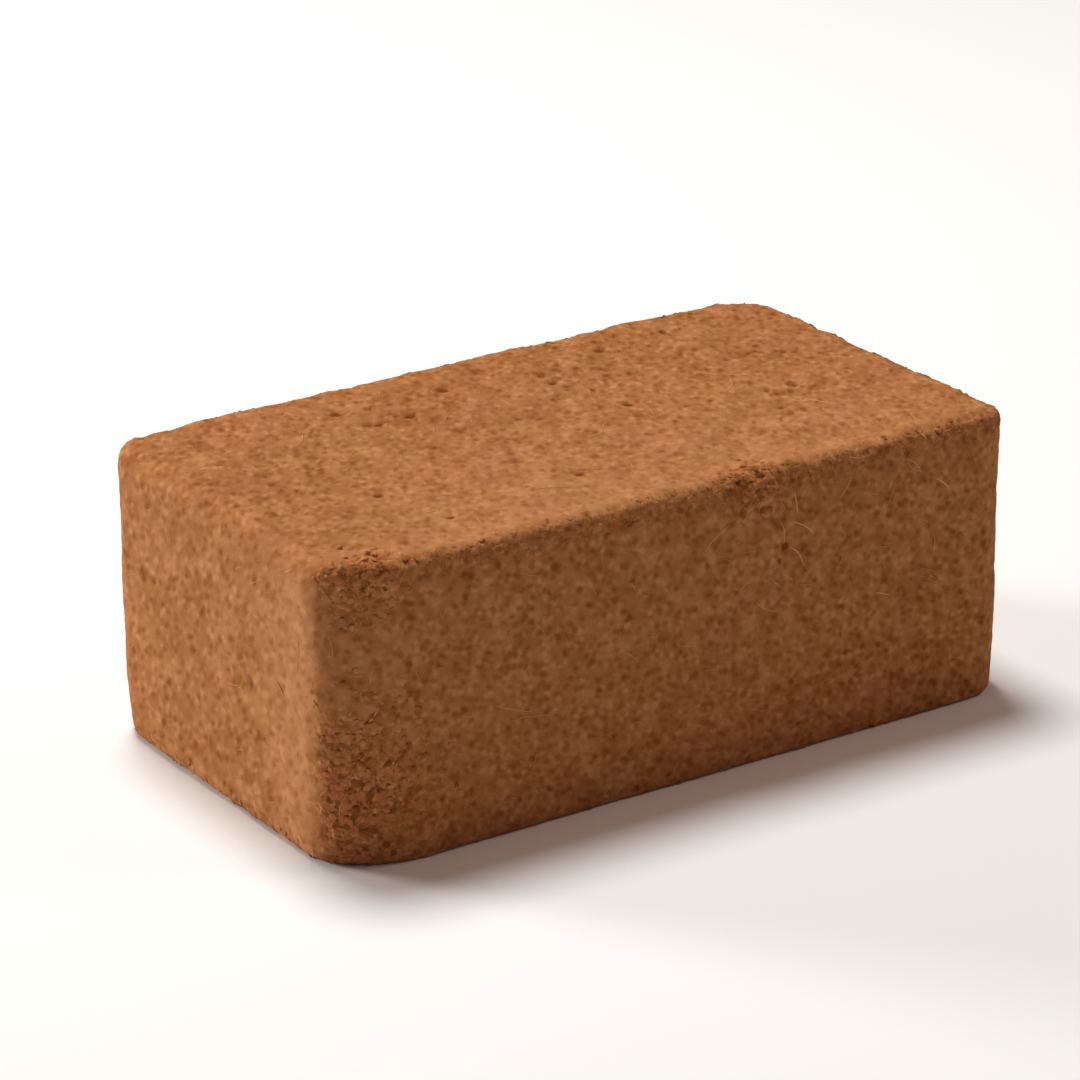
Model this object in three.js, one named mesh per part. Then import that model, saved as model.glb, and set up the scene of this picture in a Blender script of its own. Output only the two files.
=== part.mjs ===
import * as THREE from 'three';
import { mergeVertices } from 'three/addons/utils/BufferGeometryUtils.js';
import { ImprovedNoise } from 'three/addons/math/ImprovedNoise.js';

// A brick of coconut coir: husk pith and short fibre pressed into one dry, crumbly block.
// Millimetres. X is the length, Y the width, Z up, and the origin is the middle of the flat underside.

// Driving dimensions
const length = 200;
const width = 110;
const height = 77;
const topRimRadius = 5;
const frontRimRadius = 3.2;
const bottomRimRadius = 2;

// Reach of the rounding of each upright edge, along the length and across the width: the near one is oval
const uprightReach = { frontLeft: [21, 14], frontRight: [10, 10], backLeft: [12, 12], backRight: [16, 16] };

// The upright edges are worn rounder at their feet, and the brick leans a little along its length
const footReach = { frontLeft: [24, 18], frontRight: [12, 12], backLeft: [13, 13], backRight: [17, 17] };
const footHeight = 22;
const lean = -1.6;

// Cells along each side of the pressed body, and how much they crowd towards its edges
const cells = { x: 40, y: 24, z: 18 };
const crowding = 0.3;

// Swellings of the faces: how wide each kind is, how far it stands, and where it fades out
const swell = { size: 48, rise: 0.65 };
const lump = { size: 12, rise: 0.5 };
const rimLump = { size: 6.5, rise: 0.9, reach: 8 };

// Places where the pith has worked loose: the near upright corner, low down, and one spot of the front rim
const loosePlaces = [
  { x: -92, y: -47, z: 20, reach: 32, extra: 1.4 },
  { x: 19, y: -55, z: 75, reach: 12, extra: 2.2 },
];

// Pits where a crumb fell out and crumbs that stand proud, each inside one cell of the surface
const pit = { chance: 0.032, radius: [1.2, 2.1], depth: [1.0, 1.8] };
const crumb = { chance: 0.008, radius: [1.3, 2.0], depth: [-0.9, -0.5] };
const namedPitDepth = 0.8;
const cellShare = 0.7;
const cellJitter = 0.25;
const seed = 17;

// The pits of the top that catch the eye: x, y and radius
const topPits = [
  [-29, 25, 2.1],
  [-39, 24, 1.7],
  [-44, 36, 2.1],
  [-64, -16, 2.0],
  [-57, -37, 1.7],
  [-13, 35, 1.7],
  [21, 2, 2.1],
  [-16, -31, 1.9],
  [13, 24, 1.6],
  [37, 38, 2.0],
  [59, 41, 1.6],
];

const noise = new ImprovedNoise();
const { lerp, seededRandom, smoothstep } = THREE.MathUtils;

function cornerReach(sideX, sideY, z) {
  const corner = (sideY < 0 ? 'front' : 'back') + (sideX < 0 ? 'Left' : 'Right');
  const share = smoothstep(z, 0, footHeight);
  return [0, 1].map((i) => lerp(footReach[corner][i], uprightReach[corner][i], share));
}

// The outline at some height, seen from (x, y): its nearest point, the way out of it there, how far inside it
// (x, y) is, and the point full millimetres in, where that measure ends
function outlineNear(x, y, z) {
  const sideX = x < 0 ? -1 : 1;
  const sideY = y < 0 ? -1 : 1;
  const insetX = length / 2 - Math.abs(x);
  const insetY = width / 2 - Math.abs(y);
  const [reachX, reachY] = cornerReach(sideX, sideY, z);
  if (insetX < reachX && insetY < reachY) {
    const turn = new THREE.Vector2(1 - insetX / reachX, 1 - insetY / reachY).normalize();
    const centre = new THREE.Vector3(sideX * (length / 2 - reachX), sideY * (width / 2 - reachY), 0);
    const edge = new THREE.Vector3(sideX * turn.x * reachX, sideY * turn.y * reachY, 0).add(centre);
    const out = new THREE.Vector3(sideX * turn.x / reachX, sideY * turn.y / reachY, 0).normalize();
    const full = reachX * turn.x ** 2 + reachY * turn.y ** 2;
    return { edge, out, centre, full, inset: Math.min(insetX / reachX, insetY / reachY) * full };
  }
  const isEnd = insetX < insetY;
  const out = new THREE.Vector3(isEnd ? sideX : 0, isEnd ? 0 : sideY, 0);
  const centre = new THREE.Vector3(isEnd ? 0 : x, isEnd ? y : 0, 0);
  const full = isEnd ? length / 2 : width / 2;
  const edge = centre.clone().addScaledVector(out, full);
  return { edge, out, centre, full, inset: Math.min(insetX, insetY) };
}

// Where a point of the sharp-edged box lands once the upright edges and the rims are rounded, and its normal
function moulded(x, y, z) {
  const isUpper = z > height / 2;
  const facing = isUpper ? 1 : -1;
  const depth = isUpper ? height - z : z;
  const { edge, out, centre, full, inset } = outlineNear(x, y, z);
  const rim = isUpper ? lerp(topRimRadius, frontRimRadius, Math.max(0, -out.y)) : bottomRimRadius;
  const across = rim - inset;
  const along = rim - depth;
  if (across > 0 && along > 0) {
    const reach = Math.hypot(across, along);
    const normal = out.clone().multiplyScalar(across / reach).setZ(facing * along / reach);
    const place = edge.addScaledVector(out, -rim).setZ(isUpper ? height - rim : rim);
    return { place: place.addScaledVector(normal, rim), normal };
  }
  const place = edge.addScaledVector(out, -Math.min(inset, rim));
  place.lerp(centre, Math.max(0, inset - rim) / (full - rim)).setZ(z);
  return { place, normal: depth > 0 ? out : new THREE.Vector3(0, 0, facing) };
}

function noiseAt(place, size) {
  return noise.noise(place.x / size, place.y / size, place.z / size + size);
}

// How much the pith has worked loose at a place: 1 where it is sound
function looseness(place) {
  return loosePlaces.reduce((most, spot) => {
    const away = place.distanceTo(spot);
    return Math.max(most, 1 + spot.extra * (1 - smoothstep(away, 0, spot.reach)));
  }, 1);
}

// Height of the worn surface over the moulded one
function relief(place) {
  const toRim = Math.hypot(height - place.z, outlineNear(place.x, place.y, place.z).inset);
  const nearRim = 1 - smoothstep(toRim, 0, rimLump.reach);
  const broad = noiseAt(place, swell.size) * swell.rise;
  const local = noiseAt(place, lump.size) * lump.rise * looseness(place);
  const ragged = noiseAt(place, rimLump.size) * rimLump.rise * nearRim;
  return broad + local + ragged;
}

// The same on the finished brick. Its lower half only moves sideways, so the underside stays flat.
function worn(x, y, z) {
  const { place, normal } = moulded(x, y, z);
  const push = normal.clone();
  if (z < height / 2) {
    push.z = 0;
  }
  place.addScaledVector(push, relief(place));
  place.x += lean * (place.z / height - 0.5);
  return place;
}

function crowded(share) {
  return share + crowding / Math.PI * Math.sin(Math.PI * share);
}

// A box of cells, pressed into the brick's form
function pressedBody() {
  const box = new THREE.BoxGeometry(2, 2, 2, cells.x, cells.y, cells.z);
  box.deleteAttribute('normal');
  box.deleteAttribute('uv');
  const body = mergeVertices(box);
  const points = [];
  for (let i = 0; i < body.attributes.position.count; i += 1) {
    const unit = new THREE.Vector3().fromBufferAttribute(body.attributes.position, i);
    const x = crowded(unit.x) * length / 2;
    const y = crowded(unit.y) * width / 2;
    const z = (1 + crowded(unit.z)) * height / 2;
    points.push(worn(x, y, z));
  }
  return { points, index: Array.from(body.index.array) };
}

function between(range) {
  return lerp(range[0], range[1], seededRandom());
}

function middleOf(corners) {
  return corners.reduce((sum, corner) => sum.add(corner), new THREE.Vector3()).divideScalar(corners.length);
}

// The named pit of the top whose place falls in this cell, if any
function topPitIn(corners) {
  const marks = corners.map((corner) => new THREE.Vector2(corner.x, corner.y));
  const plan = new THREE.Box2().setFromPoints(marks);
  const isTop = Math.min(...corners.map((corner) => corner.z)) > height - 2;
  return isTop ? topPits.find(([x, y]) => plan.containsPoint(new THREE.Vector2(x, y))) : undefined;
}

// What has happened in one cell: a hollow of some radius and depth, or a crumb, below zero, or nothing
function hollowIn(corners) {
  const middle = middleOf(corners);
  const named = topPitIn(corners);
  if (named) {
    const [x, y, radius] = named;
    const place = new THREE.Vector3(x, y, middle.z);
    return { middle: middle.lerp(place, cellJitter), radius, depth: radius * namedPitDepth };
  }
  middle.lerp(corners[Math.floor(seededRandom() * 4)], seededRandom() * cellJitter);
  const draw = seededRandom();
  const loose = looseness(middle);
  if (draw < pit.chance * loose) {
    return { middle, radius: between(pit.radius), depth: between(pit.depth) };
  }
  if (draw < (pit.chance + crumb.chance * loose) * loose) {
    return { middle, radius: between(crumb.radius), depth: between(crumb.depth) };
  }
  return undefined;
}

// The uneven mouth of a hollow, level with the face: a point towards each corner and each side of the cell
function mouthOf(corners, { middle, radius }) {
  const towards = corners.flatMap((corner, i) => [corner, corner.clone().lerp(corners[(i + 1) % 4], 0.5)]);
  const room = Math.min(...towards.map((target) => target.distanceTo(middle))) * cellShare;
  return towards.map((target) => {
    const reach = Math.min(radius, room) * lerp(0.7, 1.3, seededRandom());
    return middle.clone().lerp(target, reach / target.distanceTo(middle));
  });
}

function floorOf(corners, { middle, depth }) {
  const across = corners[2].clone().sub(corners[0]);
  const normal = across.cross(corners[3].clone().sub(corners[1])).normalize();
  return middle.clone().addScaledVector(normal, -depth);
}

// The facets of a cell with a hollow: from its corners to the mouth's eight points, and down to the floor
function hollowFacets(loop, mouth, floor) {
  const ledge = loop.flatMap((corner, i) => {
    const next = loop[(i + 1) % 4];
    const [first, second, third] = [mouth[2 * i], mouth[2 * i + 1], mouth[(2 * i + 2) % 8]];
    return [corner, next, second, corner, second, first, next, third, second];
  });
  const wall = mouth.flatMap((point, i) => [point, mouth[(i + 1) % 8], floor]);
  return [...ledge, ...wall];
}

// The flat underside is one face, so only its outline is kept and filled
function underside(points, ring) {
  const angleOf = (i) => Math.atan2(points[i].y, points[i].x);
  const inOrder = ring.sort((a, b) => angleOf(a) - angleOf(b));
  const outline = inOrder.map((i) => new THREE.Vector2(points[i].x, points[i].y));
  const facets = THREE.ShapeUtils.triangulateShape(outline, []);
  return facets.flatMap(([a, b, c]) => [inOrder[a], inOrder[c], inOrder[b]]);
}

function coirBlock() {
  const { points, index } = pressedBody();
  const faces = [];
  const flatCells = [];
  seededRandom(seed);
  for (let start = 0; start < index.length; start += 6) {
    const loop = [index[start], index[start + 1], index[start + 4], index[start + 2]];
    const corners = loop.map((i) => points[i]);
    const lowest = Math.min(...corners.map((corner) => corner.z));
    const highest = Math.max(...corners.map((corner) => corner.z));
    const hollow = lowest > 2 * bottomRimRadius ? hollowIn(corners) : undefined;
    if (highest === 0) {
      flatCells.push(loop);
    } else if (hollow) {
      const mouth = mouthOf(corners, hollow).map((point) => points.push(point) - 1);
      const floor = points.push(floorOf(corners, hollow)) - 1;
      faces.push(...hollowFacets(loop, mouth, floor));
    } else {
      faces.push(...index.slice(start, start + 6));
    }
  }
  const inCells = new Map();
  flatCells.flat().forEach((i) => inCells.set(i, (inCells.get(i) ?? 0) + 1));
  const ring = [...inCells.keys()].filter((i) => inCells.get(i) < 4);
  faces.push(...underside(points, ring));
  const geometry = new THREE.BufferGeometry().setFromPoints(points);
  geometry.setIndex(faces);
  return geometry;
}

// The origin goes to the middle of the underside
function finished(geometry) {
  geometry.computeBoundingBox();
  const middle = geometry.boundingBox.getCenter(new THREE.Vector3());
  geometry.translate(-middle.x, -middle.y, 0);
  geometry.computeVertexNormals();
  return geometry;
}

const coir = new THREE.MeshStandardMaterial({
  color: 0xa9683a,
  roughness: 0.95,
  metalness: 0,
  flatShading: true,
});

const block = new THREE.Mesh(finished(coirBlock()), coir);
block.name = 'coir_block';

const brick = new THREE.Group();
brick.add(block);

export default brick;
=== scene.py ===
import math

import bpy
import numpy as np
from mathutils import Matrix, Vector, noise
from mathutils.bvhtree import BVHTree
from mathutils.kdtree import KDTree


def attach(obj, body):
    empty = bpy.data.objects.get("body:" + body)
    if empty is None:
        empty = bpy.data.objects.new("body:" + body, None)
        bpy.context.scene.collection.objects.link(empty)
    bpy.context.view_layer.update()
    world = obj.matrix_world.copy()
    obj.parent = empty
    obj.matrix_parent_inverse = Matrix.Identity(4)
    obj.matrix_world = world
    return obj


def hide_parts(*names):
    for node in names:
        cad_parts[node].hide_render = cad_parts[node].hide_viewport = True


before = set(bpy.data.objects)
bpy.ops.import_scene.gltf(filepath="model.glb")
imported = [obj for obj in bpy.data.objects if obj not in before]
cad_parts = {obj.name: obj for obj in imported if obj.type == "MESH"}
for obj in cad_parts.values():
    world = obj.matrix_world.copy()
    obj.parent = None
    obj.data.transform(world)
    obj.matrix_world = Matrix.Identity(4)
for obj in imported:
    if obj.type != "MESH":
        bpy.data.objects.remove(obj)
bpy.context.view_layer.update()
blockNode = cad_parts["coir_block"]
mm = 0.001

# where the camera stands, round the middle of the brick: angles in degrees, the lens in millimetres
shot = {
    "azimuth": -33.87,
    "elevation": 22.08,
    "distance": 1155 * mm,
    "lens": 153.5,
    "aimHeight": 38.5 * mm,
    "slideRight": 5.75 * mm,
    "slideUp": -6.55 * mm,
}


def makeCamera():
    azimuth = math.radians(shot["azimuth"])
    elevation = math.radians(shot["elevation"])
    back = Vector((
        math.sin(azimuth) * math.cos(elevation),
        -math.cos(azimuth) * math.cos(elevation),
        math.sin(elevation),
    ))
    right = Vector((math.cos(azimuth), math.sin(azimuth), 0))
    up = back.cross(right)
    lens = bpy.data.cameras.new("camera")
    lens.lens = shot["lens"]
    camera = bpy.data.objects.new("camera", lens)
    bpy.context.scene.collection.objects.link(camera)
    middle = Vector((0, 0, shot["aimHeight"]))
    slide = right * shot["slideRight"] + up * shot["slideUp"]
    turned = Matrix((right, up, back)).transposed().to_4x4()
    camera.matrix_world = Matrix.Translation(middle + back * shot["distance"] - slide) @ turned
    bpy.context.scene.camera = camera
    print("camera placed")


makeCamera()


# mesh helpers

tiny = 1e-12  # stands in for a length of nothing, so that nothing is divided by it


def meshObject(name, points, loops, starts, material):
    # points in metres, loops the points round each face in turn, starts where each face begins in loops
    mesh = bpy.data.meshes.new(name)
    mesh.vertices.add(len(points))
    mesh.vertices.foreach_set("co", np.asarray(points, np.float32).ravel())
    mesh.loops.add(len(loops))
    mesh.loops.foreach_set("vertex_index", np.asarray(loops, np.int32))
    mesh.polygons.add(len(starts))
    mesh.polygons.foreach_set("loop_start", np.asarray(starts, np.int32))
    mesh.update(calc_edges=True)
    mesh.validate()
    mesh.materials.append(material)
    made = bpy.data.objects.new(name, mesh)
    bpy.context.scene.collection.objects.link(made)
    return made


def setValues(piece, name, values):
    layer = piece.data.attributes.new(name, "FLOAT", "POINT")
    layer.data.foreach_set("value", np.asarray(values, np.float32))


def setUv(piece, perLoop):
    layer = piece.data.uv_layers.new(name="OFBake")
    layer.data.foreach_set("uv", np.asarray(perLoop, np.float32).ravel())


def setSmooth(piece, smooth):
    faces = piece.data.polygons
    faces.foreach_set("use_smooth", np.full(len(faces), smooth))


def unit(vectors):
    return vectors / np.maximum(np.linalg.norm(vectors, axis=-1, keepdims=True), tiny)


def edgesOf(faces):
    # each edge once, as a pair of points in rising order
    pairs = np.stack([faces, np.roll(faces, -1, axis=1)], -1).reshape(-1, 2)
    return np.unique(np.sort(pairs, axis=1), axis=0)


def smoothStep(values, low, high):
    share = np.clip((values - low) / (high - low), 0, 1)
    return share * share * (3 - 2 * share)


# material helpers

def newMaterial(name):
    material = bpy.data.materials.new(name)
    material.use_nodes = True
    tree = material.node_tree
    tree.nodes.clear()
    output = tree.nodes.new("ShaderNodeOutputMaterial")
    shader = tree.nodes.new("ShaderNodeBsdfPrincipled")
    tree.links.new(shader.outputs["BSDF"], output.inputs["Surface"])
    return material, tree, shader


def feed(tree, target, value):
    if isinstance(value, bpy.types.NodeSocket):
        tree.links.new(value, target)
    else:
        target.default_value = value


def objectPlace(tree):
    return tree.nodes.new("ShaderNodeTexCoord").outputs["Object"]


def noiseOf(tree, place, size, detail=1, rough=0.5, output="Fac"):
    made = tree.nodes.new("ShaderNodeTexNoise")
    feed(tree, made.inputs["Vector"], place)
    made.inputs["Scale"].default_value = 1 / (size * mm)
    made.inputs["Detail"].default_value = detail
    made.inputs["Roughness"].default_value = rough
    return made.outputs[output]


def stretched(tree, place, axis, turn, by):
    # the same place, turned by some degrees round an axis and then scaled along each
    turned = tree.nodes.new("ShaderNodeVectorRotate")
    turned.rotation_type = axis
    tree.links.new(place, turned.inputs["Vector"])
    turned.inputs["Angle"].default_value = math.radians(turn)
    made = tree.nodes.new("ShaderNodeVectorMath")
    made.operation = "MULTIPLY"
    tree.links.new(turned.outputs[0], made.inputs[0])
    made.inputs[1].default_value = by
    return made.outputs[0]


def ranged(tree, value, low, high, toLow=0.0, toHigh=1.0):
    made = tree.nodes.new("ShaderNodeMapRange")
    feed(tree, made.inputs["Value"], value)
    made.inputs["From Min"].default_value = low
    made.inputs["From Max"].default_value = high
    feed(tree, made.inputs["To Min"], toLow)
    feed(tree, made.inputs["To Max"], toHigh)
    return made.outputs["Result"]


def maths(tree, operation, first, second):
    made = tree.nodes.new("ShaderNodeMath")
    made.operation = operation
    feed(tree, made.inputs[0], first)
    feed(tree, made.inputs[1], second)
    return made.outputs[0]


def mixed(tree, share, first, second, blend="MIX"):
    # the node's colours come in at 6 and 7 and go out at 2
    made = tree.nodes.new("ShaderNodeMix")
    made.data_type = "RGBA"
    made.blend_type = blend
    feed(tree, made.inputs[0], share)
    feed(tree, made.inputs[6], first)
    feed(tree, made.inputs[7], second)
    return made.outputs[2]


def ramp(tree, share, stops):
    made = tree.nodes.new("ShaderNodeValToRGB")
    feed(tree, made.inputs["Fac"], share)
    steps = made.color_ramp.elements
    while len(steps) < len(stops):
        steps.new(0.5)
    for step, (position, colour) in zip(steps, stops):
        step.position = position
        step.color = colour
    return made.outputs["Color"]


def attribute(tree, name):
    made = tree.nodes.new("ShaderNodeAttribute")
    made.attribute_name = name
    return made.outputs["Fac"]


def bumped(tree, height, strength, depth):
    made = tree.nodes.new("ShaderNodeBump")
    feed(tree, made.inputs["Height"], height)
    made.inputs["Strength"].default_value = strength
    made.inputs["Distance"].default_value = depth * mm
    return made.outputs["Normal"]


def fromPicture(red, green, blue):
    # an sRGB colour, 0 to 255, as the linear one that shaders take
    def linear(value):
        share = value / 255
        return share / 12.92 if share <= 0.04045 else ((share + 0.055) / 1.055) ** 2.4

    return (linear(red), linear(green), linear(blue), 1.0)


# the colours of dry coir, from the painted shade in deep pits and gaps to a pale fibre: the darker, the
# more orange
coirColours = {
    "pit": fromPicture(116, 60, 21),
    "gapShade": fromPicture(122, 63, 24),
    "darkest": fromPicture(132, 73, 29),
    "dark": fromPicture(146, 87, 41),
    "brown": fromPicture(156, 97, 51),
    "mid": fromPicture(167, 108, 62),
    "light": fromPicture(188, 129, 83),
    "rust": fromPicture(172, 98, 58),
    "fibre": fromPicture(206, 151, 97),
}


# the pressed block, in mm: the same moulded form as the solid, in a fine mesh that is laid on the solid
block = {
    "length": 200,
    "width": 110,
    "height": 77,
    # each upright edge's rounding: its reach along and across the brick, and the same at its worn foot
    "frontLeft": ((21, 14), (24, 18)),
    "frontRight": ((10, 10), (12, 12)),
    "backLeft": ((12, 12), (13, 13)),
    "backRight": ((16, 16), (17, 17)),
    "footHeight": 22,
    "topRim": 5,
    "frontRim": 3.2,
    "bottomRim": 2,
    "lean": -1.6,  # how far the top is shifted along the length
    "pitch": 0.87,  # the side of a mesh cell
    "reach": 4,  # how far from the moulded form the solid is looked for
    "blur": 3,  # passes that soften the solid's facets
    "settle": (0.5, 6),  # nearer the floor than this, the surface is moved sideways only
    "underside": -0.99,  # a way out that points lower than this belongs to the flat underside
}

# where the pith has worked loose, in the same places as on the solid
loosePlaces = (
    {"at": (-92, -47, 20), "reach": 34, "share": 1.0},
    {"at": (19, -55, 75), "reach": 12, "share": 0.9},
    {"at": (-91, -52, 73), "reach": 15, "share": 0.8},
)

# the pits that catch the eye: place and radius; those of the top are on the solid too
boldPits = (
    ((-29, 25, 77), 2.1),
    ((-39, 24, 77), 1.7),
    ((-44, 36, 77), 2.1),
    ((-64, -16, 77), 2.0),
    ((-57, -37, 77), 1.7),
    ((-13, 35, 77), 1.7),
    ((21, 2, 77), 2.1),
    ((-16, -31, 77), 1.9),
    ((13, 24, 77), 1.6),
    ((37, 38, 77), 2.0),
    ((59, 41, 77), 1.6),
    ((28, -55, 56), 1.7),
    ((26.6, -55, 52.6), 1.2),
)


def moulded(box):
    # where points of the sharp-edged box land once its edges and rims are rounded, and the way out there
    x, y, z = box.T
    isLeft, isFront, isUpper = x < 0, y < 0, z > block["height"] / 2
    side = np.stack([np.where(isLeft, -1, 1), np.where(isFront, -1, 1)], 1)
    half = np.array([block["length"], block["width"]]) / 2
    footShare = 1 - smoothStep(z, 0, block["footHeight"])[:, None]

    def reachOf(name):
        upright, foot = np.array(block[name])
        return upright + (foot - upright) * footShare

    front = np.where(isLeft[:, None], reachOf("frontLeft"), reachOf("frontRight"))
    back = np.where(isLeft[:, None], reachOf("backLeft"), reachOf("backRight"))
    reach = np.where(isFront[:, None], front, back)
    inset = half - abs(box[:, :2])
    past = 1 - inset / reach
    isCorner = (past > 0).all(1)[:, None]
    turn = unit(np.maximum(past, 0))

    # the edge beside each point, the way out of it, and the point where its inset ends
    straight = np.where(inset[:, :1] < inset[:, 1:], [1, 0], [0, 1])
    out = np.where(isCorner, unit(turn / reach), straight) * side
    centre = np.where(isCorner, side * (half - reach), box[:, :2] * (1 - straight))
    edge = centre + np.where(isCorner, side * reach * turn, out * half)
    full = np.where(isCorner[:, 0], (reach * turn ** 2).sum(1), (half * straight).sum(1))
    inward = np.where(isCorner[:, 0], (inset / reach).min(1) * full, inset.min(1))

    # the rim above or below it, a quarter round
    topRim = block["topRim"] + (block["frontRim"] - block["topRim"]) * np.maximum(-out[:, 1], 0)
    rim = np.where(isUpper, topRim, block["bottomRim"])
    facing = np.where(isUpper, 1.0, -1.0)
    depth = np.where(isUpper, block["height"] - z, z)
    across, along = rim - inward, rim - depth
    onRim = (across > 0) & (along > 0)
    span = np.where(onRim, np.hypot(across, along), 1)
    sideways = np.where(onRim, across / span, np.where(depth > 0, 1.0, 0.0))
    upward = np.where(onRim, facing * along / span, np.where(depth > 0, 0.0, facing))
    height = np.where(onRim, np.where(isUpper, block["height"] - rim, rim) + rim * upward, z)

    # the rest of the top and the underside closes in on that point
    shift = np.where(onRim, rim - rim * sideways, inward)
    deep = (np.maximum(shift - rim, 0) / (full - rim))[:, None]
    near = edge - out * np.minimum(shift, rim)[:, None]
    flat = near + (centre - near) * deep
    lean = block["lean"] * (height / block["height"] - 0.5)
    places = np.stack([flat[:, 0] + lean, flat[:, 1], height], 1)
    normals = np.stack([out[:, 0] * sideways, out[:, 1] * sideways, upward], 1)
    return places, normals


def boxFaces():
    # each face of the box as a lattice of cells, their corners as whole steps along x, y and z
    nx, ny, nz = (round(block[side] / block["pitch"]) for side in ("length", "width", "height"))

    def sheet(across, up, flip):
        a, b = np.meshgrid(np.arange(across), np.arange(up), indexing="ij")
        a, b = a.ravel(), b.ravel()
        order = ((1, 0), (0, 0), (0, 1), (1, 1)) if flip else ((0, 0), (1, 0), (1, 1), (0, 1))
        return [(a + da, b + db) for da, db in order]

    def placed(corners, build):
        return np.stack([np.stack(build(a, b), -1) for a, b in corners], 1)

    fixed = np.full_like
    faces = {
        "top": placed(sheet(nx, ny, False), lambda a, b: (a, b, fixed(a, nz))),
        "front": placed(sheet(nx, nz, False), lambda a, b: (a, fixed(a, 0), b)),
        "back": placed(sheet(nx, nz, True), lambda a, b: (a, fixed(a, ny), b)),
        "left": placed(sheet(ny, nz, True), lambda a, b: (fixed(a, 0), a, b)),
        "right": placed(sheet(ny, nz, False), lambda a, b: (fixed(a, nx), a, b)),
        "under": placed(sheet(nx, ny, True), lambda a, b: (a, b, fixed(a, 0))),
    }
    # the flat middle of the underside is one large face, so only its border cells are kept
    kept = math.ceil(block["bottomRim"] / block["pitch"]) + 1
    low = faces["under"].min(1)
    border = (low[:, 0] < kept) | (low[:, 1] < kept) | (low[:, 0] >= nx - kept) | (low[:, 1] >= ny - kept)
    faces["under"] = faces["under"][border]
    ring = [(i, kept, 0) for i in range(kept, nx - kept)]
    ring += [(nx - kept, j, 0) for j in range(kept, ny - kept)]
    ring += [(i, ny - kept, 0) for i in range(nx - kept, kept, -1)]
    ring += [(kept, j, 0) for j in range(ny - kept, kept, -1)]
    return faces, np.array(ring[::-1]), np.array([nx, ny, nz])


# each face's own patch of the block's texture square, which is atlasSide wide: left, bottom and scale,
# in mm, and the two axes that it spans
atlasSide = 320
atlas = {
    "top": (2, 2, 1, (0, 1)),
    "left": (206, 2, 1, (1, 2)),
    "front": (2, 116, 1, (0, 2)),
    "right": (206, 116, 1, (1, 2)),
    "back": (2, 197, 1, (0, 2)),
    "under": (206, 197, 0.5, (0, 1)),
}


def atlasPlace(name, lattice):
    left, bottom, scale, (first, second) = atlas[name]
    flat = lattice[:, [first, second]] * block["pitch"] * scale
    return (flat + [left, bottom]) / atlasSide


def offsetsOfSolid(places, normals):
    # how far the solid's own surface lies outside the moulded form, in mm
    coords = [vertex.co / mm for vertex in blockNode.data.vertices]
    solid = BVHTree.FromPolygons(coords, [face.vertices for face in blockNode.data.polygons])
    offsets = np.zeros(len(places))
    reach = block["reach"]
    for i, (place, normal) in enumerate(zip(places, normals)):
        if normal[2] < block["underside"]:
            continue
        out = Vector(normal)
        hit = solid.ray_cast(Vector(place) + out * reach, -out, 2 * reach)
        if hit[0] is not None:
            offsets[i] = reach - hit[3]
    return offsets


def neighbourMean(values, edges, count):
    a, b = edges.T
    total = np.bincount(a, values[b], count) + np.bincount(b, values[a], count)
    touching = np.bincount(a, minlength=count) + np.bincount(b, minlength=count)
    return total / np.maximum(touching, 1)


def blurred(values, edges, passes):
    for _ in range(passes):
        values = 0.5 * values + 0.5 * neighbourMean(values, edges, len(values))
    return values


# wear of the rims: each pair is where it begins and where it is full, in mm or as parts of the way out
wear = {
    "soundEnd": (-46.5, -42.5),  # across the brick: the left end is sound from here to the back
    # the band on the front just under its upper rim, which takes rust and painted gap shade: depths at
    # which it comes in and goes out, and how much it counts
    "bandIn": (0.6, 2),
    "bandOut": (4, 9),
    "bandFacing": (0.5, 0.9),
    "bandShare": 0.55,
    # the rounded upper rims, and how many times their radius the wear reaches down
    "rimFacing": (0.05, 0.6),
    "rimReach": 2.2,
    "footFade": (1, 6),
    "footShare": 0.5,
    # the left end is spared most of it
    "leftFacing": (0.2, 0.7),
    "leftSpared": 0.75,
}


def looseness(places):
    # 0 where the pith is sound, up to about 1 where it crumbles
    most = np.zeros(len(places))
    for spot in loosePlaces:
        away = np.linalg.norm(places - spot["at"], axis=1)
        most = np.maximum(most, spot["share"] * (1 - smoothStep(away, 0, spot["reach"])))
    return most * (1 - smoothStep(places[:, 1], *wear["soundEnd"]))


def rustAndGapShadeBand(places, normals):
    # 1 on the front just under its upper rim, where rust and painted gap shade go
    toTop = block["height"] - places[:, 2]
    under = smoothStep(toTop, *wear["bandIn"]) * (1 - smoothStep(toTop, *wear["bandOut"]))
    return under * smoothStep(-normals[:, 1], *wear["bandFacing"])


def rimShare(places, normals):
    # 1 on the rounded rims and fading out over a few millimetres of the faces beside them
    toTop = block["height"] - places[:, 2]
    sideways = np.hypot(normals[:, 0], normals[:, 1])
    away = smoothStep(toTop, block["topRim"], wear["rimReach"] * block["topRim"])
    onTop = smoothStep(sideways, *wear["rimFacing"]) * (1 - away)
    onBottom = wear["footShare"] * (1 - smoothStep(places[:, 2], *wear["footFade"]))
    onLeft = smoothStep(-normals[:, 0], *wear["leftFacing"])
    return np.maximum(onTop, onBottom) * (1 - wear["leftSpared"] * onLeft)


# the borders of the lit sides that get a painted highlight, a little paler: how far from the front each
# fades out, and where it faces
litBorders = {
    "topNear": (4, 14),
    "topFar": (20, 70),
    "topFacing": (0.3, 0.8),
    "middle": -15,  # along the brick, where the top's is widest
    "middleFade": (30, 80),
    "middleShare": 0.6,
    "leftNear": (16, 40),
    "leftFacing": (0.8, 0.98),
    "leftShare": 0.9,
}


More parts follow.
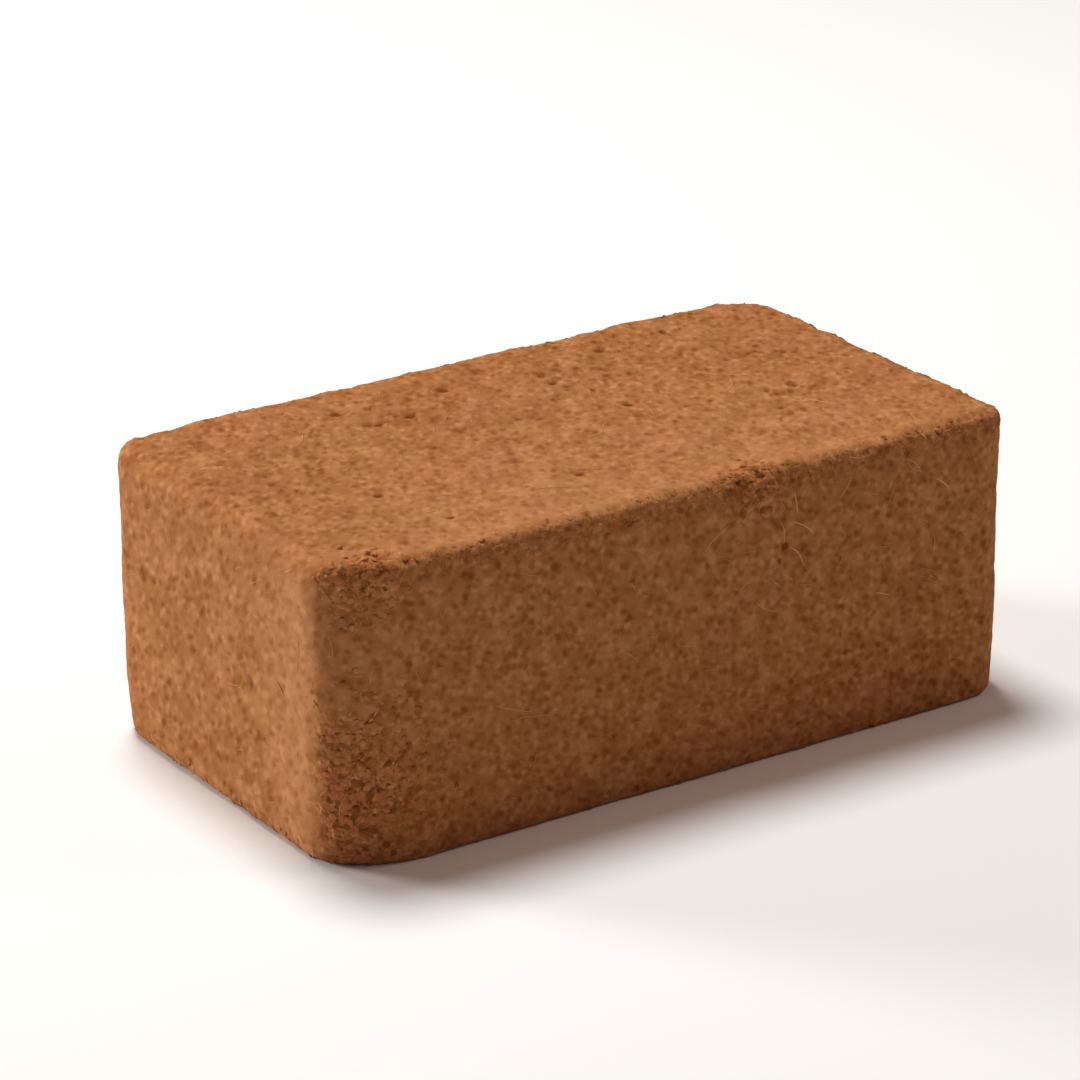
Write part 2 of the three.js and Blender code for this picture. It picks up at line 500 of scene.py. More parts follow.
def paintedHighlight(places, normals):
    # painted highlight on the lit sides: the top towards the middle of its front rim, and the left side
    # beside the near edge
    toFront = places[:, 1] + block["width"] / 2
    fromMiddle = abs(places[:, 0] - litBorders["middle"])
    middle = 1 - litBorders["middleShare"] * smoothStep(fromMiddle, *litBorders["middleFade"])
    near = 1 - smoothStep(toFront, *litBorders["topNear"])
    far = 1 - smoothStep(toFront, *litBorders["topFar"])
    onTop = smoothStep(normals[:, 2], *litBorders["topFacing"]) * (0.5 * near + 0.5 * far * middle)
    beside = 1 - smoothStep(toFront, *litBorders["leftNear"])
    onLeft = smoothStep(-normals[:, 0], *litBorders["leftFacing"]) * beside * litBorders["leftShare"]
    return np.maximum(onTop, onLeft)


# fine relief of the pressed pith, in mm
relief = {
    # height and size of the felt all over and of the crumbly parts, and a shift that sets each noise
    "felt": 0.08,
    "feltSize": 3.2,
    "feltShift": 3.1,
    "crumbly": 0.5,
    "crumblySize": 3.4,
    "crumblyShift": 8.3,
    # the noise: which way a shift moves it, how its octaves fade and step, and how many there are
    "noiseWay": (1, 1.7, 0.6),
    "noiseFade": 0.8,
    "noiseStep": 2.0,
    "octaves": 2,
    # how crumbly it is all over, on the rims and where it is loose, and at most
    "everywhere": 0.05,
    "onRims": 0.6,
    "inLoose": 0.35,
    "most": 1.2,
    # small pits, how much more of them the rims and the loose places have, and how high the lowest sit
    "pits": 420,
    "pitRadius": (1.0, 1.8),
    "pitDepth": (0.15, 0.4),
    "pitsOnRims": 3,
    "pitsInLoose": 6,
    "pitsFrom": 1,
    "boldPitDepth": 0.5,
    # the bold pits' cores get the darkest painted shade
    "boldPitCore": 0.45,  # the share of its radius that is darkest
    # hollows, which get painted shade, are found against a blurred surface: its passes, and the depth that
    # counts as a full hollow and full painted shade
    "hollowBlur": 14,
    "hollowDepth": 0.6,
    "seed": 7,
}


def noiseField(places, size, shift):
    move = Vector([shift * part for part in relief["noiseWay"]])
    form = relief["noiseFade"], relief["noiseStep"], relief["octaves"]
    return np.array([noise.fractal(Vector(place) / size + move, *form) for place in places])


def fineRelief(places, normals):
    loose = looseness(places)
    rims = rimShare(places, normals)
    felt = noiseField(places, relief["feltSize"], relief["feltShift"]) * relief["felt"]
    rough = noiseField(places, relief["crumblySize"], relief["crumblyShift"]) * relief["crumbly"]
    crumbly = relief["everywhere"] + relief["onRims"] * rims + relief["inLoose"] * loose
    height = felt + rough * np.clip(crumbly, 0, relief["most"])

    draws = np.random.default_rng(relief["seed"])
    tree = KDTree(len(places))
    for i, place in enumerate(places):
        tree.insert(place, i)
    tree.balance()

    def dig(place, radius, depth):
        for _, near, away in tree.find_range(place, radius):
            height[near] -= depth * (1 - (away / radius) ** 2)

    weight = 1 + relief["pitsOnRims"] * rims + relief["pitsInLoose"] * loose
    weight[places[:, 2] < relief["pitsFrom"]] = 0
    for i in draws.choice(len(places), relief["pits"], replace=False, p=weight / weight.sum()):
        radius = draws.uniform(*relief["pitRadius"])
        dig(places[i], radius, draws.uniform(*relief["pitDepth"]))
    for place, radius in boldPits:
        dig(place, radius, relief["boldPitDepth"])
    return height


def paintedHollowShade(places, heights, edges):
    # painted shade in the hollows: 0 on the open surface, 1 at the bottom of a hollow and over the cores
    # of the bold pits
    depths = blurred(heights, edges, relief["hollowBlur"]) - heights
    hollow = np.clip(depths / relief["hollowDepth"], 0, 1)
    for place, radius in boldPits:
        away = np.linalg.norm(places - place, axis=1)
        hollow = np.maximum(hollow, 1 - smoothStep(away, relief["boldPitCore"] * radius, radius))
    return hollow


def makeSkin(material):
    faces, ring, counts = boxFaces()
    cells = np.concatenate(list(faces.values()))
    # one whole number for each point of the lattice, so that faces that meet share their points
    shape = tuple(counts + 1)
    keys = np.ravel_multi_index(tuple(np.moveaxis(cells, -1, 0)), shape)
    ringKeys = np.ravel_multi_index(tuple(ring.T), shape)
    used, index = np.unique(keys.ravel(), return_inverse=True)
    lattice = np.stack(np.unravel_index(used, shape), 1)
    size = np.array([block["length"], block["width"], block["height"]])
    box = lattice / counts * size - size / 2 * [1, 1, 0]
    places, normals = moulded(box)
    quads = index.reshape(-1, 4)
    edges = edgesOf(quads)
    print("skin lattice:", len(places), "points")

    base = blurred(offsetsOfSolid(places, normals), edges, block["blur"])
    heights = base + fineRelief(places, normals)
    push = normals.copy()
    push[:, 2] *= smoothStep(places[:, 2], *block["settle"])
    worn = places + push * heights[:, None]
    worn[:, 2] = np.maximum(worn[:, 2], 0)
    worn[normals[:, 2] < block["underside"], 2] = 0

    loops = np.concatenate([quads.ravel(), np.searchsorted(used, ringKeys)])
    starts = np.append(np.arange(len(quads)) * 4, len(quads) * 4)
    skin = meshObject("pressed_coir", worn * mm, loops, starts, material)
    setSmooth(skin, True)
    # loose pith and the band under the front rim take rust and painted gap shade
    loose = looseness(places) + wear["bandShare"] * rustAndGapShadeBand(places, normals)
    # painted shade in the hollows and bold pits
    setValues(skin, "hollow", paintedHollowShade(places, heights, edges))
    setValues(skin, "loose", np.clip(loose, 0, 1))
    # the painted highlight on the borders of the lit top and left side
    setValues(skin, "pale", paintedHighlight(places, normals))
    uv = [atlasPlace(name, part.reshape(-1, 3)) for name, part in faces.items()]
    setUv(skin, np.concatenate(uv + [atlasPlace("under", ring)]))
    print("pressed block laid on the solid")
    return skin, worn, quads


# limits for the grains, crumbs and fibres on the skin, in mm
lowestStart = 0.6  # none starts lower
floorGap = 0.02  # none comes nearer the floor
pitMargin = 0.3  # the fine ones keep this far from a bold pit


def surfaceSamples(worn, quads, weightOf, count, draws):
    # seeded places on the skin, and the way out at each
    corners = worn[quads]
    cross = np.cross(corners[:, 2] - corners[:, 0], corners[:, 3] - corners[:, 1])
    area = np.linalg.norm(cross, axis=1)
    middles = corners.mean(1)
    weight = area * weightOf(middles)
    weight[middles[:, 2] < lowestStart] = 0
    chosen = draws.choice(len(quads), count, p=weight / weight.sum())
    s, t = draws.random((2, count, 1))
    a, b, c, d = corners[chosen].transpose(1, 0, 2)
    places = (1 - s) * (1 - t) * a + s * (1 - t) * b + s * t * c + (1 - s) * t * d
    return places, unit(cross[chosen])


def alongSurface(ways, normals):
    return unit(ways - normals * (ways * normals).sum(1, keepdims=True))


def framesAt(normals, draws):
    # a random way along the surface, the way across it, and the way out
    along = alongSurface(draws.normal(size=normals.shape), normals)
    return np.stack([along, np.cross(normals, along), normals], 1)


def manyPieces(name, material, points, facets, patch, smooth):
    # one mesh of many small pieces: points by piece and corner, in mm, the same facets for all, and the
    # same patch for all, in a cell of its own of the texture square for each
    count, corners = points.shape[:2]
    points[..., 2] = np.maximum(points[..., 2], floorGap)
    loops = (facets[None] + np.arange(count)[:, None, None] * corners).ravel()
    starts = np.arange(0, len(loops), facets.shape[1])
    made = meshObject(name, points.reshape(-1, 3) * mm, loops, starts, material)
    setSmooth(made, smooth)
    perRow = math.ceil(math.sqrt(count))
    cell = np.stack([np.arange(count) % perRow, np.arange(count) // perRow], 1)
    uv = (cell[:, None] + patch[None]) / perRow
    setUv(made, uv.reshape(-1, 2)[loops])
    return made


chipForm = (
    np.array([(1, 0, 0), (0, 1, 0), (-1, 0, 0), (0, -1, 0), (0, 0, 1), (0, 0, -1)], float),
    np.array([(0, 1, 4), (1, 2, 4), (2, 3, 4), (3, 0, 4), (1, 0, 5), (2, 1, 5), (3, 2, 5), (0, 3, 5)]),
)

# how a crumb lies in its cell of the texture square: its middle, its reach and what its height adds
crumbPatch = {"middle": 0.5, "reach": 0.4, "byHeight": (0.12, 0.08)}


def rounderForm(form):
    # each facet cut in four, and the new corners pushed out to the ball
    points, facets = form
    pairs = edgesOf(facets)
    middles = {tuple(pair): len(points) + i for i, pair in enumerate(pairs)}
    finer = []
    for a, b, c in facets:
        ab, bc, ca = (middles[tuple(sorted(pair))] for pair in ((a, b), (b, c), (c, a)))
        finer += [(a, ab, ca), (ab, b, bc), (ca, bc, c), (ab, bc, ca)]
    return np.concatenate([points, unit(points[pairs].mean(1))]), np.array(finer)


def crumbMesh(name, material, kind, worn, quads, weightOf):
    draws = np.random.default_rng(kind["seed"])
    count = kind["count"]
    places, normals = surfaceSamples(worn, quads, weightOf, count, draws)
    frames = framesAt(unit(normals + draws.normal(size=normals.shape) * kind["tilt"]), draws)
    width = draws.uniform(*kind["width"], (count, 1)) / 2
    scale = np.concatenate([
        width * draws.uniform(*kind["stretch"], (count, 1)),
        width,
        width * draws.uniform(*kind["flatness"], (count, 1)),
    ], 1)
    base, facets = rounderForm(chipForm) if kind["round"] else chipForm
    uneven = kind["uneven"]
    shape = base[None] * draws.uniform(1 - uneven, 1 + uneven, (count, len(base), 1))
    shape += draws.normal(size=shape.shape) * uneven / 2
    points = np.einsum("nvk,nkj->nvj", shape * scale[:, None], frames)
    sink = draws.uniform(*kind["sink"], (count, 1)) * scale[:, 2:]
    points += (places - normals * sink)[:, None]
    byHeight = base[:, 2:] * crumbPatch["byHeight"]
    patch = crumbPatch["middle"] + base[:, :2] * crumbPatch["reach"] + byHeight
    made = manyPieces(name, material, points, facets, patch, kind["round"])
    setValues(made, "tone", np.repeat(draws.random(count), len(base)))
    loose = np.ones(count) if kind["rusty"] else np.clip(looseness(places), 0, 1)
    setValues(made, "loose", np.repeat(loose, len(base)))
    print(name + ":", count, "crumbs")
    return made


# what all fibres share
fibreForm = {
    "sides": 4,
    "taper": 0.65,  # how much thinner the tips are
    "tips": 3,  # the higher, the shorter the part that is thinner and lifted
    "shorter": 1.6,  # the higher, the more of the scattered ones are short
    "patch": (0.1, 0.9),  # from where to where each fills its cell of the texture square
}


def fibreRoutes(kind, places, headings, lengths, bends, worn, quads, draws):
    # each fibre creeps over the skin step by step, turning as it goes, its ends a little off the skin
    surface = BVHTree.FromPolygons(worn.tolist(), quads.tolist())
    steps, tips = kind["steps"], fibreForm["tips"]
    lifts = draws.uniform(*kind["lift"], (2, len(places)))
    route, outs = [], []
    for step in range(steps + 1):
        share = step / steps
        lift = lifts[0] * (1 - share) ** tips + lifts[1] * share ** tips + kind["rest"]
        found = [surface.find_nearest(place)[:2] for place in places]
        laid = np.array([near for near, _ in found])
        normals = np.array([out for _, out in found])
        route.append(laid + normals * lift[:, None])
        outs.append(normals)
        headings = alongSurface(headings, normals)
        turn = (bends / steps + draws.normal(size=len(places)) * kind["waver"])[:, None]
        headings = headings * np.cos(turn) + np.cross(normals, headings) * np.sin(turn)
        places = laid + headings * (lengths / steps)[:, None]
    return np.array(route), np.array(outs)


def fibreTubes(name, material, kind, route, outs, tones, draws):
    # thin tubes round the routes, finer towards their ends
    steps, count, sides = kind["steps"], route.shape[1], fibreForm["sides"]
    ahead = unit(np.gradient(route, axis=0))
    across = unit(np.cross(ahead, outs))
    over = np.cross(across, ahead)
    taper = 1 - fibreForm["taper"] * abs(np.linspace(-1, 1, steps + 1)) ** fibreForm["tips"]
    reach = draws.uniform(*kind["radius"], count) * taper[:, None]
    rings = []
    for k in range(sides):
        angle = 2 * math.pi * k / sides
        rings.append(route + (across * math.cos(angle) + over * math.sin(angle)) * reach[..., None])
    points = np.array(rings).transpose(2, 1, 0, 3)

    # the walls between each ring of points and the next, then both ends
    facets = []
    last = steps * sides
    for ring in range(0, last, sides):
        for k in range(sides):
            after = (k + 1) % sides
            facets.append((ring + k, ring + after, ring + sides + after, ring + sides + k))
    facets += [(3, 2, 1, 0), (last, last + 1, last + 2, last + 3)]
    low, high = fibreForm["patch"]
    along, around = np.linspace(low, high, steps + 1), np.linspace(low, high, sides)
    patch = np.stack(np.meshgrid(along, around, indexing="ij"), -1).reshape(-1, 2)
    made = manyPieces(name, material, points.reshape(count, -1, 3), np.array(facets), patch, True)
    setValues(made, "tone", np.repeat(tones, len(patch)))
    print(name + ":", count, "fibres")
    return made


def scatteredFibres(name, material, kind, worn, quads, weightOf):
    draws = np.random.default_rng(kind["seed"])
    count = kind["count"]
    places, normals = surfaceSamples(worn, quads, weightOf, count, draws)
    headings = framesAt(normals, draws)[:, 0]
    shortest, longest = kind["length"]
    lengths = shortest + (longest - shortest) * draws.random(count) ** fibreForm["shorter"]
    bends = draws.normal(size=count) * kind["curl"]
    route, outs = fibreRoutes(kind, places, headings, lengths, bends, worn, quads, draws)
    return fibreTubes(name, material, kind, route, outs, draws.random(count), draws)


def placedFibres(name, material, kind, worn, quads):
    draws = np.random.default_rng(kind["seed"])
    x, z, heading, lengths, bend = np.array(kind["laid"], float).T
    places = np.stack([x, np.full(len(x), -block["width"] / 2), z], 1)
    heading = np.radians(heading)
    headings = np.stack([np.cos(heading), np.zeros(len(x)), np.sin(heading)], 1)
    route, outs = fibreRoutes(kind, places, headings, lengths, np.radians(bend), worn, quads, draws)
    return fibreTubes(name, material, kind, route, outs, np.ones(len(x)), draws)


# the speckle of pressed pith, all sizes in mm
speckle = {
    # the tone that all start from, then each layer's size and how much it counts
    "middle": 0.5,
    "layers": ((4.2, 0.2), (1.7, 0.14)),
    # marks: their spacing and radius, how few of them show, how much they lighten or darken
    "marks": (
        (1.85, 1.02, 0.1, -0.12),
        (2.0, 1.05, 0.15, 0.105),
        (2.9, 1.2, 0.5, -0.14),
        (7.0, 1.8, 0.35, -0.16),
    ),
    "core": 0.2,  # the share of a mark's radius that shows in full
    "unlike": 0.3,  # how much the marks' strengths differ
    "shakenBy": (1.3, 0.8),  # size and amount of the noise that makes them uneven
    "ragged": 1,  # the detail of that noise
    # the pith was raked level and pressed, so its grain runs one way over each side: axis, turn and scale
    "topGrain": ("Z_AXIS", -56, (0.58, 0.88, 1)),
    "sideGrain": ("Y_AXIS", -36, (0.75, 0.86, 0.9)),
    "endGrain": ("X_AXIS", 38, (0.95, 0.52, 0.78)),
    # heights from which the top's grain is used, and distances along the brick from which the ends' is
    "topFrom": (74.5, 76),
    "endFrom": (96, 98.5),
    # the colour that each tone takes
    "tones": ((0.33, "darkest"), (0.39, "dark"), (0.445, "brown"), (0.5, "mid"), (0.61, "light")),
}

# broad zones a little yellower or redder than the rest: their size in mm, and the tint that each takes
zones = {
    "size": 24,
    "detail": 2,
    "rough": 0.6,
    "tints": ((0.35, (1, 1.015, 0.94, 1)), (0.5, (1, 1, 1, 1)), (0.65, (1, 0.98, 1.03, 1))),
}

# loose pith is patchy: the size of its lumps in mm, which of them are rusty or take the painted shade of
# gaps, and how much
patchy = {
    "lumps": 2.6,
    "rusty": (0.48, 0.58, 0, 0.7),
    "shadedGaps": (0.46, 0.38, 0, 0.8),
}


def shaken(tree, place, size, amount):
    # the same place, moved a little by noise, so that round marks come out uneven
    move = tree.nodes.new("ShaderNodeVectorMath")
    move.operation = "MULTIPLY_ADD"
    tree.links.new(noiseOf(tree, place, size, speckle["ragged"], output="Color"), move.inputs[0])
    move.inputs[1].default_value = (amount * mm,) * 3
    tree.links.new(place, move.inputs[2])
    return move.outputs[0]


def marksOf(tree, place, spacing, radius, fewest):
    # soft marks, each with a strength of its own: a lower fewest shows more of them
    made = tree.nodes.new("ShaderNodeTexVoronoi")
    tree.links.new(place, made.inputs["Vector"])
    made.inputs["Scale"].default_value = 1 / (spacing * mm)
    near = ranged(tree, made.outputs["Distance"], radius / spacing, speckle["core"] * radius / spacing)
    strength = ranged(tree, made.outputs["Color"], fewest, fewest + speckle["unlike"])
    return maths(tree, "MULTIPLY", near, strength)


def pithTone(tree, place, grain):
    place = stretched(tree, place, *grain)
    tone = speckle["middle"]
    for size, share in speckle["layers"]:
        layer = ranged(tree, noiseOf(tree, place, size), 0, 1, -share / 2, share / 2)
        tone = maths(tree, "ADD", layer, tone)
    moved = shaken(tree, place, *speckle["shakenBy"])
    for spacing, radius, fewest, share in speckle["marks"]:
        marks = maths(tree, "MULTIPLY", marksOf(tree, moved, spacing, radius, fewest), share)
        tone = maths(tree, "ADD", marks, tone)
    return tone


def pithColour(tree, place, shift):
    axes = tree.nodes.new("ShaderNodeSeparateXYZ")
    tree.links.new(place, axes.inputs[0])
    low, high = speckle["topFrom"]
    onTop = ranged(tree, axes.outputs["Z"], low * mm, high * mm)
    low, high = speckle["endFrom"]
    onEnd = ranged(tree, maths(tree, "ABSOLUTE", axes.outputs["X"], 0), low * mm, high * mm)
    sideTone = pithTone(tree, place, speckle["sideGrain"])
    endTone = pithTone(tree, place, speckle["endGrain"])
    topTone = pithTone(tree, place, speckle["topGrain"])
    tone = ranged(tree, onTop, 0, 1, ranged(tree, onEnd, 0, 1, sideTone, endTone), topTone)
    tone = maths(tree, "ADD", tone, shift)
    colour = ramp(tree, tone, [(position, coirColours[name]) for position, name in speckle["tones"]])
    tint = ramp(tree, noiseOf(tree, place, zones["size"], zones["detail"], zones["rough"]), zones["tints"])
    colour = mixed(tree, 1.0, colour, tint, "MULTIPLY")

    loose = attribute(tree, "loose")
    lumps = maths(tree, "ADD", noiseOf(tree, place, patchy["lumps"]), shift)
    rusty = maths(tree, "MULTIPLY", loose, ranged(tree, lumps, *patchy["rusty"]))
    # painted shade: the lowest lumps are darkened as gaps between crumbs
    shadedGaps = maths(tree, "MULTIPLY", loose, ranged(tree, lumps, *patchy["shadedGaps"]))
    colour = mixed(tree, rusty, colour, coirColours["rust"])
    return mixed(tree, shadedGaps, colour, coirColours["gapShade"])


noiseSpan = (0.3, 0.7)  # most of a noise's values lie between these


def finished(tree, shader, place, finish):
    # the finest grain of a pith surface: its roughness, its gloss and its bump
    grain = noiseOf(tree, place, finish["size"])
    tree.links.new(ranged(tree, grain, *noiseSpan, *finish["rough"]), shader.inputs["Roughness"])
    shader.inputs["Specular IOR Level"].default_value = finish["gloss"]
    tree.links.new(bumped(tree, grain, finish["bump"], finish["depth"]), shader.inputs["Normal"])


# the block's own surface: tones are shifted, and shares are of another colour mixed in, for the painted
# shade in hollows and the painted highlight on the lit borders
pressedPith = {
    # painted highlight on the lit borders: a tone shift and a share of the light colour
    "paler": 0.045,
    "paleShare": 0.25,
    # painted shade in the hollows: a tone shift and the pit's shade colour mixed in
    "hollowShade": 0.06,
    "darkerFrom": (0, 0.6),
    "pits": (0.38, 0.9, 0, 0.95),
    # its finest grain: size and depth in mm, strength of the bump, roughness from and to, and gloss
    "finish": {"size": 1.4, "depth": 0.25, "bump": 0.35, "rough": (0.98, 0.85), "gloss": 0.12},
}


def pithMaterial():
    material, tree, shader = newMaterial("pressed_pith")
    place = objectPlace(tree)
    pale = attribute(tree, "pale")
    hollow = attribute(tree, "hollow")
    # painted shade: the hollows darken the tone, and the lit borders lighten it with the painted highlight
    hollowShade = ranged(tree, hollow, *pressedPith["darkerFrom"], 0, -pressedPith["hollowShade"])
    shift = ranged(tree, pale, 0, 1, hollowShade, pressedPith["paler"])
    colour = pithColour(tree, place, shift)
    # painted highlight on the lit borders: the light colour mixed in
    paleShare = maths(tree, "MULTIPLY", pale, pressedPith["paleShare"])
    colour = mixed(tree, paleShare, colour, coirColours["light"])
    # painted shade: the deepest hollows take the pit's shade colour
    colour = mixed(tree, ranged(tree, hollow, *pressedPith["pits"]), colour, coirColours["pit"])
    tree.links.new(colour, shader.inputs["Base Color"])
    finished(tree, shader, place, pressedPith["finish"])
    return material


# grains and crumbs: how much darker and lighter they are where the pith is sound and where it is loose
loosePith = {
    "darkest": (-0.025, -0.09),
    "lightest": (0.03, 0.09),
    "finish": {"size": 0.8, "depth": 0.15, "bump": 0.4, "rough": (0.95, 0.8), "gloss": 0.12},
}


def crumbMaterial():
    material, tree, shader = newMaterial("loose_pith")
    place = objectPlace(tree)
    loose = attribute(tree, "loose")
    darkest = ranged(tree, loose, 0, 1, *loosePith["darkest"])
    lightest = ranged(tree, loose, 0, 1, *loosePith["lightest"])
    shift = ranged(tree, attribute(tree, "tone"), 0, 1, darkest, lightest)
    tree.links.new(pithColour(tree, place, shift), shader.inputs["Base Color"])
    finished(tree, shader, place, loosePith["finish"])
    return material


# fibres: size of their streaks in mm, how much each fibre's own tone and the streaks count
coirFibre = {
    "streaks": 1.2,
    "detail": 2,
    "toneShare": 0.8,
    "streakShare": 0.2,
    "tones": ((0.1, "mid"), (0.5, "light"), (0.95, "fibre")),
    "rough": (0.75, 0.55),
    "gloss": 0.3,
}


def fibreMaterial():
    material, tree, shader = newMaterial("coir_fibre")
    streak = noiseOf(tree, objectPlace(tree), coirFibre["streaks"], coirFibre["detail"])
    own = maths(tree, "MULTIPLY", attribute(tree, "tone"), coirFibre["toneShare"])
    tone = maths(tree, "ADD", own, maths(tree, "MULTIPLY", streak, coirFibre["streakShare"]))
    colour = ramp(tree, tone, [(position, coirColours[name]) for position, name in coirFibre["tones"]])
    tree.links.new(colour, shader.inputs["Base Color"])
    tree.links.new(ranged(tree, streak, *noiseSpan, *coirFibre["rough"]), shader.inputs["Roughness"])
    shader.inputs["Specular IOR Level"].default_value = coirFibre["gloss"]
    return material


# grains and crumbs: width in mm, length and height as parts of the width, and how much of it is sunk
grains = {
    "count": 24000,
    "width": (0.4, 1.0),
    "stretch": (1.1, 2.6),
    "flatness": (0.05, 0.12),
    "sink": (0.4, 0.9),
    "tilt": 0.02,
    "round": False,
    "rusty": False,
    "uneven": 0.25,
    "seed": 11,
}

crumbs = {
    "count": 3600,
    "width": (1.3, 2.4),
    "stretch": (1.0, 1.5),
    "flatness": (0.16, 0.34),
    "sink": (0.48, 0.86),
    "tilt": 0.06,
    "round": True,
    "rusty": False,
    "uneven": 0.15,
    "seed": 12,
    # how deep under the top and how far out they lie on the rims, and up to where round the foot
    "rimDepth": (3, 8),
    "rimOut": (0.93, 0.99),
    "footHeight": (2, 6),
    # how thickly, against the rims
    "atFoot": 0.5,
    "inLoose": 2.5,
}

rustyCrumbs = {
    "count": 130,
    "width": (1.8, 3.0),
    "stretch": (1.0, 1.35),
    "flatness": (0.4, 0.7),
    "sink": (0.2, 0.8),
    "tilt": 0.2,
    "round": True,
    "rusty": True,
    "uneven": 0.12,
    "seed": 13,
    # where they lie: middle, reach and how thickly; the left end has none
    "heaps": (((18.6, -54, 75), 5, 1), ((-91, -51, 72), 7, 0.5), ((-91, -50, 18), 13, 0.25)),
    "leftLimit": -98,
}

# fibres: length, radius, lift of the ends and rest of the middle in mm, curl and waver in radians
shortFibres = {
    "count": 2000,
    "length": (1.8, 6.0),
    "radius": (0.06, 0.1),
    "steps": 5,
    "curl": 0.5,
    "waver": 0.12,
    "lift": (0, 0.06),
    "rest": -0.04,
    "seed": 21,
}

longFibres = {
    "count": 120,
    "length": (4.0, 12.0),
    "radius": (0.11, 0.17),
    "steps": 14,
    "curl": 0.6,
    "waver": 0.1,
    "lift": (0, 0.12),
    "rest": -0.05,
    "seed": 22,
    # where most lie on the front: the middle and reach along the brick and up, and how they thin out
    "middle": (48, 58),
    "reach": (45, 22),
    "thinOut": (0.3, 1.2),
    "frontFrom": (52, 54),
    # how thickly all over, there and in the loose places
    "everywhere": 0.25,
    "onFront": 3,
    "inLoose": 2,
}

# the pale fibres that catch the eye on the front: where each starts (x, z), its heading, length and bend
laidFibres = {
    "laid": (
        (4.0, 60.0, 56, 9.5, -34),
        (29.0, 62.3, -11, 9.3, -38),
        (29.2, 55.7, -28, 7.5, -38),
        (56.4, 37.2, -8, 4.9, -30),
        (44.5, 65.1, 54, 5.6, 13),
        (74.2, 63.9, -24, 6.8, -29),
        (30.6, 70.0, -74, 6.2, -12),
        (14.6, 47.7, 36, 4.2, -8),
        (-91.2, 37.3, 46, 5.6, 8),
    ),
    "radius": (0.21, 0.27),
    "steps": 16,
    "waver": 0.03,
    "lift": (0, 0.06),
    "rest": -0.04,
    "seed": 23,
}


# how thickly each kind lies, at the middles of the skin's cells

def outsidePits(middles):
    # evenly, but not in the bold pits
    clear = np.ones(len(middles))
    for place, radius in boldPits:
        clear[np.linalg.norm(middles - place, axis=1) < radius + pitMargin] = 0
    return clear


def whereFibrous(middles):
    # most long fibres show on the front, towards its upper right, and where the pith is loose
    onFront = smoothStep(-middles[:, 1], *longFibres["frontFrom"])
    away = np.hypot(*((middles[:, [0, 2]] - longFibres["middle"]) / longFibres["reach"]).T)
    there = longFibres["onFront"] * onFront * (1 - smoothStep(away, *longFibres["thinOut"]))
    return longFibres["everywhere"] + there + longFibres["inLoose"] * looseness(middles)


def whereLoose(middles):
    # on the upper rims, except the left end's, round the foot and where the pith is loose
    toTop = block["height"] - middles[:, 2]
    out = np.maximum(middles[:, 0] / (block["length"] / 2), abs(middles[:, 1]) / (block["width"] / 2))
    onRim = (1 - smoothStep(toTop, *crumbs["rimDepth"])) * smoothStep(out, *crumbs["rimOut"])
    low = 1 - smoothStep(middles[:, 2], *crumbs["footHeight"])
    return onRim + crumbs["atFoot"] * low + crumbs["inLoose"] * looseness(middles)


def inHeaps(middles):
    weight = np.zeros(len(middles))
    for middle, reach, thickly in rustyCrumbs["heaps"]:
        weight += thickly * np.exp(-((np.linalg.norm(middles - middle, axis=1) / reach) ** 2))
    return weight * (middles[:, 0] > rustyCrumbs["leftLimit"])


def ridesAsCoir(piece):
    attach(piece, "root")
    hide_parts("coir_block")


pith = pithMaterial()
crumbly = crumbMaterial()
fibre = fibreMaterial()
print("pith and fibre materials made")

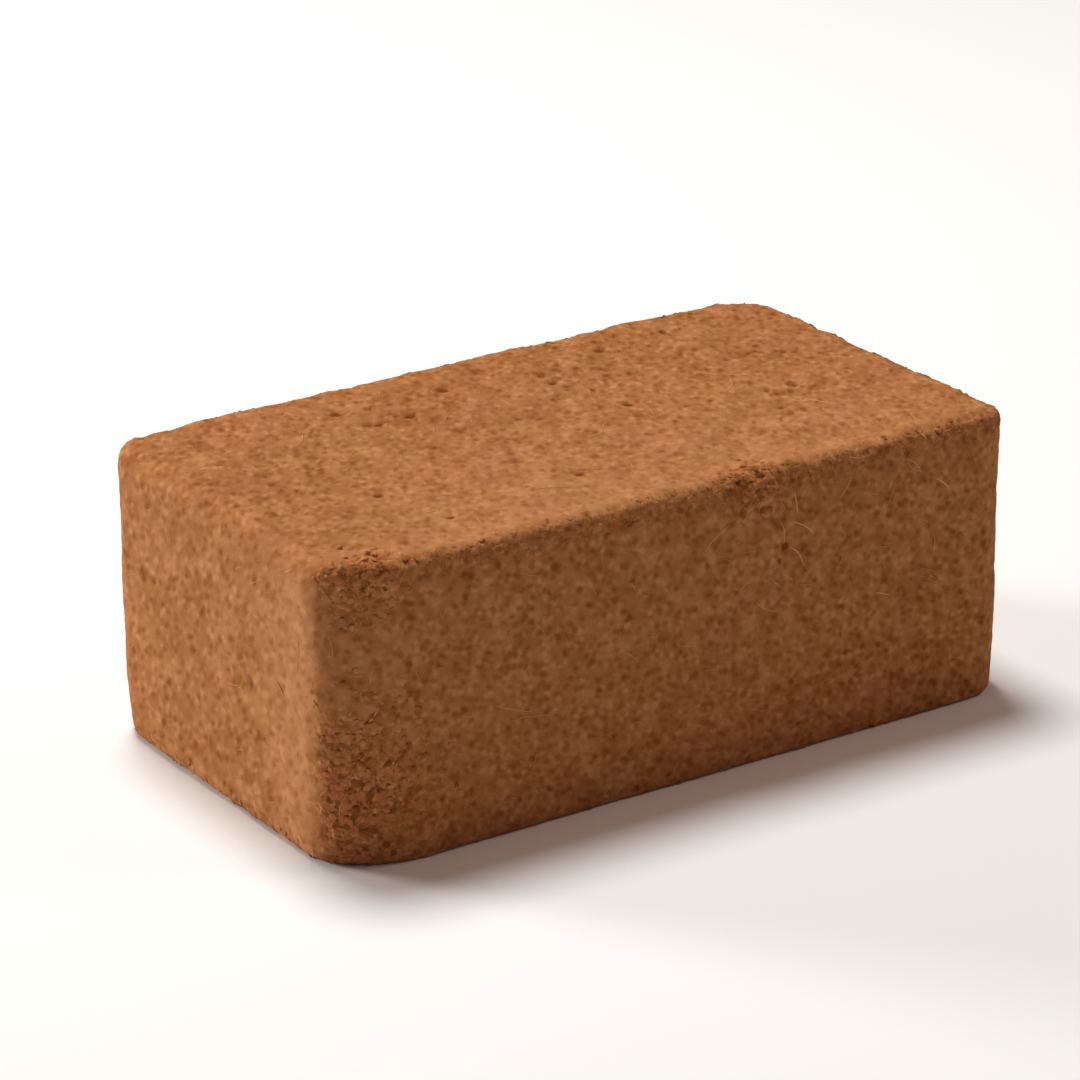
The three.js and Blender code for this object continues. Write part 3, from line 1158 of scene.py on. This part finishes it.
skin, worn, quads = makeSkin(pith)
ridesAsCoir(skin)
ridesAsCoir(crumbMesh("pith_grains", crumbly, grains, worn, quads, outsidePits))
ridesAsCoir(crumbMesh("loose_crumbs", crumbly, crumbs, worn, quads, whereLoose))
ridesAsCoir(crumbMesh("rusty_crumbs", crumbly, rustyCrumbs, worn, quads, inHeaps))
ridesAsCoir(scatteredFibres("short_fibres", fibre, shortFibres, worn, quads, outsidePits))
ridesAsCoir(scatteredFibres("long_fibres", fibre, longFibres, worn, quads, whereFibrous))
ridesAsCoir(placedFibres("pale_fibres", fibre, laidFibres, worn, quads))


# a plain pale floor under soft studio light, in metres
studio = {
    "floorSide": 8,
    "floorHeight": -0.05 * mm,  # a hair under the brick's foot, so that the two never share a plane
    "floorColour": (0.95, 0.95, 0.95, 1),
    "floorRough": 0.9,
    "lampsAway": 1.8,
    "lampSide": 0.6,
    # each lamp's turn from behind towards the left and its height, in degrees, its power and its colour
    "overhead": (0, 75, 25, (0.98, 1, 0.975)),
    "lowBehind": (36, 12, 29, (1, 0.975, 0.945)),
    "fill": (240, 50, 3.9, (1, 0.67, 0.57)),
    # the light from all round, which keeps the gaps between crumbs from going black
    "allRound": (0.117, 0.101, 0.09, 1),
}


def makeStudio():
    material, tree, shader = newMaterial("pale_floor")
    shader.inputs["Base Color"].default_value = studio["floorColour"]
    shader.inputs["Roughness"].default_value = studio["floorRough"]
    half = studio["floorSide"] / 2
    square = ((-1, -1), (1, -1), (1, 1), (-1, 1))
    corners = [(x * half, y * half, studio["floorHeight"]) for x, y in square]
    floor = meshObject("floor", corners, [0, 1, 2, 3], [0], material)

    for name in ("overhead", "lowBehind", "fill"):
        turn, rise, power, colour = studio[name]
        turn, rise = math.radians(turn), math.radians(rise)
        lamp = bpy.data.lights.new(name, "AREA")
        lamp.shape = "DISK"
        lamp.size = studio["lampSide"]
        lamp.energy = power
        lamp.color = colour
        made = bpy.data.objects.new(name, lamp)
        bpy.context.scene.collection.objects.link(made)
        way = Vector((-math.sin(turn) * math.cos(rise), math.cos(turn) * math.cos(rise), math.sin(rise)))
        made.location = way * studio["lampsAway"]
        made.rotation_euler = way.to_track_quat("Z", "Y").to_euler()

    world = bpy.data.worlds.new("studio")
    bpy.context.scene.world = world
    world.use_nodes = True
    world.node_tree.nodes["Background"].inputs["Color"].default_value = studio["allRound"]
    bpy.context.scene.view_settings.view_transform = "Standard"
    print("studio lit")


makeStudio()
